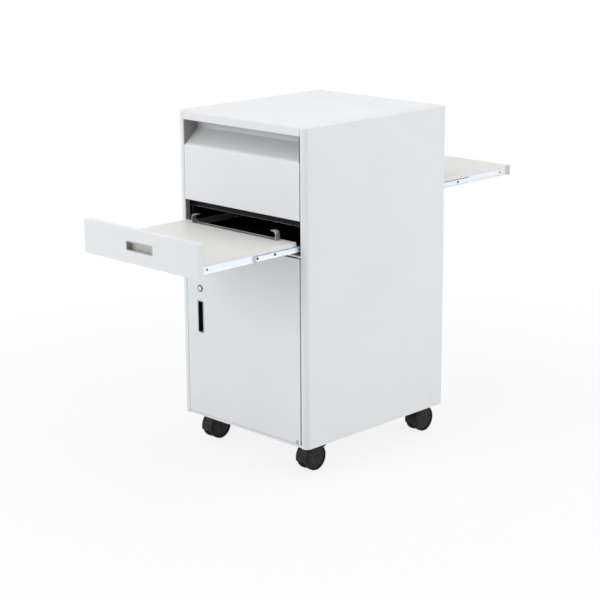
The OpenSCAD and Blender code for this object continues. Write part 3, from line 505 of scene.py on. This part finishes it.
def dress(node, material, round_edges=0.0):
    """Gives a CAD node its finish, and rounds its edges where they are real folds or cuts."""
    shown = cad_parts[node]
    for held in shown.material_slots:
        held.material = material
    if round_edges:
        weld = shown.modifiers.new("Weld", "WELD")
        weld.merge_threshold = SAME_POINT
        bevel = shown.modifiers.new("Bevel", "BEVEL")
        bevel.width = round_edges
        bevel.segments = 2
        bevel.limit_method = "ANGLE"
        bevel.angle_limit = EDGE_ANGLE


# Settings


class FinishSettings(bpy.types.PropertyGroup):
    """Colours of the finishes."""
    white: FloatVectorProperty(name="Powder coat", description="Colour of the cabinet",
                               subtype="COLOR", size=3, default=(0.790, 0.815, 0.835))
    cream: FloatVectorProperty(name="Tray coat", description="Colour of the tray's deck",
                               subtype="COLOR", size=3, default=(0.790, 0.780, 0.745))
    zinc: FloatVectorProperty(name="Zinc", description="Colour of the plated slides",
                              subtype="COLOR", size=3, default=(0.80, 0.85, 0.91))
    steel: FloatVectorProperty(name="Steel", description="Colour of the bare steel pieces",
                               subtype="COLOR", size=3, default=(0.46, 0.46, 0.45))
    black: FloatVectorProperty(name="Plastic", description="Colour of the black plastic",
                               subtype="COLOR", size=3, default=(0.0070, 0.0070, 0.0062))


class CartSettings(bpy.types.PropertyGroup):
    """Sizes of the fine pieces."""
    edge: FloatProperty(name="Sheet edge", description="Rounding of the sheet's edges",
                        default=0.3 * MM, unit="LENGTH", precision=5)
    wheel_steps: IntProperty(name="Wheel facets", description="Facets round a wheel",
                             default=72, min=24)
    screw_head: FloatProperty(name="Screw head", description="Radius of a screw's head",
                              default=3.2 * MM, unit="LENGTH", precision=5)
    trail: FloatProperty(name="Caster trail", description="From a caster's stem to its axle",
                         default=23 * MM, unit="LENGTH", precision=5)


class StageSettings(bpy.types.PropertyGroup):
    """Light and camera."""
    world: FloatProperty(name="World light", description="Strength of the even light",
                         default=0.61, min=0.0)
    top_light: FloatProperty(name="Top light", description="Power of the lamp above",
                             default=25.0, unit="POWER")
    front_light: FloatProperty(name="Front light", description="Power of the lamp in front",
                               default=55.0, unit="POWER")
    side_light: FloatProperty(name="Side light", description="Power of the lamp at the right",
                              default=50.0, unit="POWER")
    focal_pixels: FloatProperty(name="Focal length", description="Focal length in image pixels",
                                default=1664.8)
    camera_place: FloatVectorProperty(name="Camera", description="Place of the camera",
                                      subtype="TRANSLATION", size=3,
                                      default=(3.253, -3.321, 1.640))
    camera_turn: FloatVectorProperty(name="Camera turn",
                                     description="Turn, tilt and roll of the camera in degrees",
                                     size=3, default=(44.75, 14.78, -0.37))


# Operators


class CART_OT_coat_panels(bpy.types.Operator):
    """Gives the folded panels their powder coat"""
    bl_idname = "cart.coat_panels"
    bl_label = "Coat the Panels"

    def execute(self, context):
        colours = context.scene.cart_finishes
        white = tuple(colours.white)
        # Some of these coats carry painted shade: in the tray's bay, on the posts' returns and in the
        # hand-hold recess
        coats = (
            (WHITE_NODES, powder_coat("powder_coat", white)),
            (INNER_SHADE_NODES, powder_coat("powder_coat_lined", white, paint_inner_shade=True)),
            (("upper_front_panel",), powder_coat("powder_coat_recess", white, recess_shade=True)),
            (("bay_divider",), powder_coat("powder_coat_divider", white, paint_inner_shade=True, shine=0.12)),
            (CREAM_NODES, powder_coat("powder_coat_deck", tuple(colours.cream), low_dust=0.0)),
        )
        for nodes, coat in coats:
            for node in nodes:
                dress(node, coat, context.scene.cart_sizes.edge)
        return {"FINISHED"}


class CART_OT_plate_hardware(bpy.types.Operator):
    """Gives the slides and small hardware their zinc plating and bare steel"""
    bl_idname = "cart.plate_hardware"
    bl_label = "Plate the Hardware"

    def execute(self, context):
        colours = context.scene.cart_finishes
        zinc = plated_steel("zinc_plating", tuple(colours.zinc))
        steel = plated_steel("satin_steel", tuple(colours.steel), grain=(0.04, 1.0, 1.0), rough=0.34)
        dull = plated_steel("dull_steel", tinted(tuple(colours.steel), 0.45), rough=0.42)
        FINISHES.update(steel=steel, screw=dull)
        for node in ZINC_NODES:
            dress(node, zinc)
        for node in STEEL_NODES:
            dress(node, steel)
        for node in ROUNDED_STEEL_NODES:
            dress(node, steel, STEEL_EDGE)
        dress("lock_housing", dull, LOCK_EDGE)
        return {"FINISHED"}


class CART_OT_mould_plastics(bpy.types.Operator):
    """Gives the pull cup, bushes and bumpers their black plastic and rubber"""
    bl_idname = "cart.mould_plastics"
    bl_label = "Mould the Plastics"

    def execute(self, context):
        black = tuple(context.scene.cart_finishes.black)
        plastic = moulded_plastic("black_plastic", black)
        rubber = tread_rubber("tread_rubber", tinted(black, 1.1))
        FINISHES.update(plastic=plastic, rubber=rubber)
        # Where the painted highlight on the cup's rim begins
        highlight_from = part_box("door_panel")[0].y - CUP_RIM_DEPTH
        dress("door_pull", moulded_plastic("door_cup_plastic", CUP_BLACK, highlight_from), CUP_EDGE)
        dress("door_bushes", plastic)
        dress("door_bumpers", rubber)
        for corner in CORNERS:
            dress(f"caster_{corner}_hood", plastic)
            dress(f"caster_{corner}_wheels", plastic)
        for corner in BRAKED:
            dress(f"brake_pedal_{corner}", plastic, PEDAL_EDGE)
        return {"FINISHED"}


class CART_OT_turn_wheels(bpy.types.Operator):
    """Turns each caster's two tyres and domed discs, with a hub cap and mould marks"""
    bl_idname = "cart.turn_wheels"
    bl_label = "Turn the Wheels"

    def execute(self, context):
        steps = context.scene.cart_sizes.wheel_steps
        tyre_profile = self.tyre_profile()
        for corner in CORNERS:
            middle = middle_of(f"caster_{corner}_wheels")
            tyres, discs = bmesh.new(), bmesh.new()
            for side in (-1, 1):
                turned(tyres, in_metres(tyre_profile, side), middle, "X", steps)
                turned(discs, in_metres(DISC_PROFILE, side), middle, "X", steps)
                self.mould_marks(discs, middle, side)
            body = f"wheels_{corner}"
            tyre = finished_piece(f"tyres_{corner}", tyres, FINISHES["rubber"], body)
            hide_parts(f"caster_{corner}_wheels")
            finished_piece(f"wheel_discs_{corner}", discs, FINISHES["plastic"], body,
                           28.0)
        return {"FINISHED"}

    def tyre_profile(self):
        """A closed profile: flat inside, with a round shoulder at each side of the tread."""
        points = TYRE_FOOT + arc((TREAD_RADIUS, TREAD_IN), TREAD_ROUND, -90, 0, 5)
        points += arc((TREAD_RADIUS, TREAD_OUT), TREAD_ROUND, 0, 90, 5) + TYRE_LIP
        return points + points[:1]

    def mould_marks(self, bm, middle, side):
        """Small round bosses in a ring on the disc."""
        for i in range(MARK_COUNT):
            turn = math.radians(FULL_TURN / MARK_COUNT * i + MARK_START)
            place = Vector((side * MARK_PLANE, MARK_RING * math.cos(turn),
                            MARK_RING * math.sin(turn))) * MM
            turned(bm, in_metres(MARK_PROFILE, side), middle + place, "X", MARK_FACETS)


class CART_OT_mould_hoods(bpy.types.Operator):
    """Moulds each caster's hood: a rounded fender, the web between the wheels and a flared neck"""
    bl_idname = "cart.mould_hoods"
    bl_label = "Mould the Hoods"

    def execute(self, context):
        trail = context.scene.cart_sizes.trail
        for corner in CORNERS:
            axle = middle_of(f"caster_{corner}_wheels")
            bm = bmesh.new()
            for part in (self.fender(), self.web(), self.neck(trail)):
                bmesh.ops.translate(part, vec=axle, verts=part.verts)
                merge(bm, part)
            if corner in BRAKED:
                turned(bm, in_metres(LUG_PROFILE), axle + LUG_PLACE, "X", ROUND_FACETS)
            made = finished_piece(f"hood_{corner}", bm, FINISHES["plastic"], f"caster_{corner}",
                                  30.0)
            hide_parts(f"caster_{corner}_hood")
        return {"FINISHED"}

    def fender(self):
        """A shell over both wheels, round at its side edges and at its two ends."""
        middle = FENDER_HALF - FENDER_ROUND
        outline = [(FENDER_INNER, -FENDER_HALF)]
        outline += arc((FENDER_MIDDLE, -middle), FENDER_ROUND, -90, 0, 4)
        outline += arc((FENDER_MIDDLE, middle), FENDER_ROUND, 0, 90, 4)
        outline += [(FENDER_INNER, FENDER_HALF)]
        made = bmesh.new()
        turned(made, in_metres(outline + outline[:1]), ORIGIN, "X", FENDER_STEPS,
               start=HOOD_START, angle=HOOD_END - HOOD_START)
        rims = [edge for edge in made.edges if edge.is_boundary]
        caps = bmesh.ops.holes_fill(made, edges=rims)["faces"]
        bmesh.ops.recalc_face_normals(made, faces=made.faces)
        rounded(made, caps, FENDER_END_ROUND * MM, 2)
        return made

    def web(self):
        """The plate between the wheels, with a round foot about the axle."""
        outline = arc((0, 0), WEB_OUTER, WEB_START, HOOD_END, 24)
        outline += arc((0, 0), WEB_INNER, HOOD_END, FULL_TURN + WEB_START, 32)
        made = bmesh.new()
        face = made.faces.new(
            [made.verts.new((-WEB_HALF * MM, y * MM, z * MM)) for y, z in outline])
        grown = bmesh.ops.extrude_face_region(made, geom=[face])["geom"]
        moved = [item for item in grown if isinstance(item, bmesh.types.BMVert)]
        bmesh.ops.translate(made, vec=(2 * WEB_HALF * MM, 0, 0), verts=moved)
        bmesh.ops.recalc_face_normals(made, faces=made.faces)
        flat = [face for face in made.faces if abs(face.normal.x) > 0.9]
        rounded(made, flat, WEB_ROUND * MM, 3)
        return made

    def neck(self, trail):
        """The socket of the stem, which flares into the fender's round."""
        rings = [(radius, height, False) for radius, height in NECK_RINGS]
        rings += [(radius, height, True) for radius, height in FLARE_RINGS]
        made = bmesh.new()
        rows = []
        for radius, height, on_fender in rings:
            row = []
            for i in range(NECK_FACETS if radius else 1):
                turn = math.radians(FULL_TURN / NECK_FACETS * i)
                x, y = radius * math.cos(turn), radius * math.sin(turn) - trail / MM
                z = height + (math.sqrt(FLARE_RADIUS ** 2 - y ** 2) if on_fender else 0.0)
                row.append(made.verts.new((x * MM, y * MM, min(z, NECK_TOP) * MM)))
            rows.append(row)
        for first, second in zip(rows, rows[1:]):
            for i in range(NECK_FACETS):
                corners = [first[i % len(first)], first[(i + 1) % len(first)],
                           second[(i + 1) % len(second)], second[i % len(second)]]
                made.faces.new(list(dict.fromkeys(corners)))
        return made


class CART_OT_drive_screws(bpy.types.Operator):
    """Puts pan-head screws with a cross recess where the CAD screws are"""
    bl_idname = "cart.drive_screws"
    bl_label = "Drive the Screws"

    def execute(self, context):
        radius = context.scene.cart_sizes.screw_head
        for body, axis in (("cabinet", "Y"), ("tray", "X"), ("shelf", "X")):
            node = f"{body}_screws"
            bm = bmesh.new()
            for low, high in islands(node):
                self.screw(bm, low, high, axis, radius)
            made = finished_piece(f"{node}_fine", bm, FINISHES["screw"], body, 50.0)
            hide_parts(node)
        return {"FINISHED"}

    def screw(self, bm, low, high, axis, radius):
        """One screw: its head lies at the outer end along +Y, or away from the middle along X."""
        along = "XYZ".index(axis)
        across = [i for i in range(3) if i != along]
        middle = (low + high) / 2
        out = 1 if axis == "Y" or middle.x > 0 else -1
        length = high[along] - low[along]
        base = (length / 2 - HEAD_HEIGHT) * out
        profile = [(share * radius, rise * HEAD_HEIGHT) for share, rise in HEAD_PROFILE]
        profile += [(SHANK_SHARE * radius, 0.0), (SHANK_SHARE * radius, HEAD_HEIGHT - length),
                    (0.0, HEAD_HEIGHT - length)]
        made = bmesh.new()
        turned(made, [(reach, base + height * out) for reach, height in profile], ORIGIN, axis,
               SCREW_FACETS)
        for vert in made.verts:
            reach = math.hypot(*(vert.co[i] for i in across))
            near = min(abs(vert.co[i]) for i in across)
            on_top = vert.co[along] * out > base * out + RECESS_FLOOR * HEAD_HEIGHT
            if on_top and reach < RECESS_REACH * radius and near < RECESS_HALF * radius:
                vert.co[along] -= out * RECESS_DEPTH * HEAD_HEIGHT
        bmesh.ops.translate(made, vec=middle, verts=made.verts)
        merge(bm, made)


class CART_OT_fit_hinge_screw(bpy.types.Operator):
    """Fits the round screw head at the door's lower hinge corner and the dark bush beside it"""
    bl_idname = "cart.fit_hinge_screw"
    bl_label = "Fit the Hinge Screw"

    def execute(self, context):
        low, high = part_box("door_panel")
        z = low.z + HINGE_HEIGHT
        screw, bush = bmesh.new(), bmesh.new()
        turned(screw, in_metres(HINGE_SCREW_PROFILE, -1),
               Vector((high.x - HINGE_INSET, low.y, z)), "Y", ROUND_FACETS)
        turned(bush, in_metres(HINGE_BUSH_PROFILE),
               Vector((high.x, low.y + HINGE_DEPTH, z)), "X", ROUND_FACETS)
        finished_piece("hinge_screw", screw, FINISHES["steel"], "door", 50.0)
        finished_piece("hinge_bush", bush, FINISHES["plastic"], "door")
        return {"FINISHED"}


class CART_OT_build_stage(bpy.types.Operator):
    """Adds the floor, the lamps, the world and the camera"""
    bl_idname = "cart.build_stage"
    bl_label = "Build the Stage"

    def execute(self, context):
        stage = context.scene.cart_stage
        self.floor()
        self.world(context.scene, stage.world)
        for name, place, size, power in LAMPS:
            self.lamp(name, place, size, getattr(stage, power))
        self.camera(context.scene, stage)
        return {"FINISHED"}

    def floor(self):
        bm = bmesh.new()
        bmesh.ops.create_circle(bm, cap_ends=True, segments=FLOOR_FACETS, radius=FLOOR_RADIUS)
        mesh = bpy.data.meshes.new("floor")
        bm.to_mesh(mesh)
        bm.free()
        floor = bpy.data.objects.new("floor", mesh)
        bpy.context.scene.collection.objects.link(floor)
        mesh.materials.append(self.floor_finish())

    def floor_finish(self):
        """Matt grey that takes the shadow, with even white laid over it for the camera."""
        graph = Finish("studio_floor")
        matt = graph.wire("ShaderNodeBsdfDiffuse", None, {"Color": FLOOR_GREY})
        bright = graph.wire("ShaderNodeEmission", None, {"Color": WHITE, "Strength": 1.0})
        distance = (graph.x * graph.x + graph.y * graph.y).math("SQRT")
        away = distance.smooth(WHITE_FROM, WHITE_TO)
        share = graph.seen_directly() * (WHITE_NEAR + away * (1.0 - WHITE_NEAR))
        return graph.end_in(graph.wire("ShaderNodeMixShader", None, {0: share, 1: matt, 2: bright}))

    def world(self, scene, strength):
        """An even light that the camera sees as plain white."""
        scene.world = bpy.data.worlds.new("studio")
        graph = Graph(scene.world, "ShaderNodeOutputWorld")
        even = graph.wire("ShaderNodeBackground", None, {0: COOL_WHITE, 1: strength})
        shown = graph.wire("ShaderNodeBackground", None, {0: WHITE, 1: 1.0})
        graph.end_in(graph.wire("ShaderNodeMixShader", None, {
            0: graph.seen_directly(), 1: even, 2: shown}))

    def lamp(self, name, place, size, power):
        """A square lamp that looks at the cart."""
        data = bpy.data.lights.new(name, "AREA")
        data.shape = "SQUARE"
        data.size = size
        data.energy = power
        lamp = bpy.data.objects.new(name, data)
        bpy.context.scene.collection.objects.link(lamp)
        lamp.location = place
        lamp.rotation_euler = (LAMP_TARGET - Vector(place)).to_track_quat("-Z", "Y").to_euler()

    def camera(self, scene, stage):
        data = bpy.data.cameras.new("camera")
        data.sensor_width = SENSOR_WIDTH
        data.lens = stage.focal_pixels / PICTURE_WIDTH * SENSOR_WIDTH
        data.clip_end = SIGHT
        camera = bpy.data.objects.new("camera", data)
        scene.collection.objects.link(camera)
        turn, tilt, roll = (math.radians(angle) for angle in stage.camera_turn)
        camera.matrix_world = (Matrix.Translation(stage.camera_place)
                               @ Matrix.Rotation(turn, 4, "Z")
                               @ Matrix.Rotation(math.pi / 2 - tilt, 4, "X")
                               @ Matrix.Rotation(roll, 4, "Z"))
        scene.camera = camera
        scene.view_settings.view_transform = "Standard"


class CART_PT_panel(bpy.types.Panel):
    """Lists the cart's pieces and their settings"""
    bl_label = "Projector Cart"
    bl_idname = "CART_PT_panel"
    bl_space_type = "VIEW_3D"
    bl_region_type = "UI"
    bl_category = "Cart"

    def draw(self, context):
        layout = self.layout
        for settings in (getattr(context.scene, name) for name in SETTINGS):
            box = layout.box()
            for name in settings.__annotations__:
                box.prop(settings, name)
        for step in STEPS:
            layout.operator(step.bl_idname)


STEPS = (CART_OT_coat_panels, CART_OT_plate_hardware, CART_OT_mould_plastics,
         CART_OT_turn_wheels, CART_OT_mould_hoods, CART_OT_drive_screws,
         CART_OT_fit_hinge_screw, CART_OT_build_stage)
SETTINGS = {"cart_finishes": FinishSettings, "cart_sizes": CartSettings,
            "cart_stage": StageSettings}
CLASSES = (*SETTINGS.values(), *STEPS, CART_PT_panel)


def register():
    for made in CLASSES:
        bpy.utils.register_class(made)
    for name, kind in SETTINGS.items():
        setattr(bpy.types.Scene, name, PointerProperty(type=kind))


def unregister():
    for name in SETTINGS:
        delattr(bpy.types.Scene, name)
    for made in reversed(CLASSES):
        bpy.utils.unregister_class(made)


def main():
    register()
    for step in STEPS:
        group, name = step.bl_idname.split(".")
        getattr(getattr(bpy.ops, group), name)()


if __name__ == "__main__":
    main()
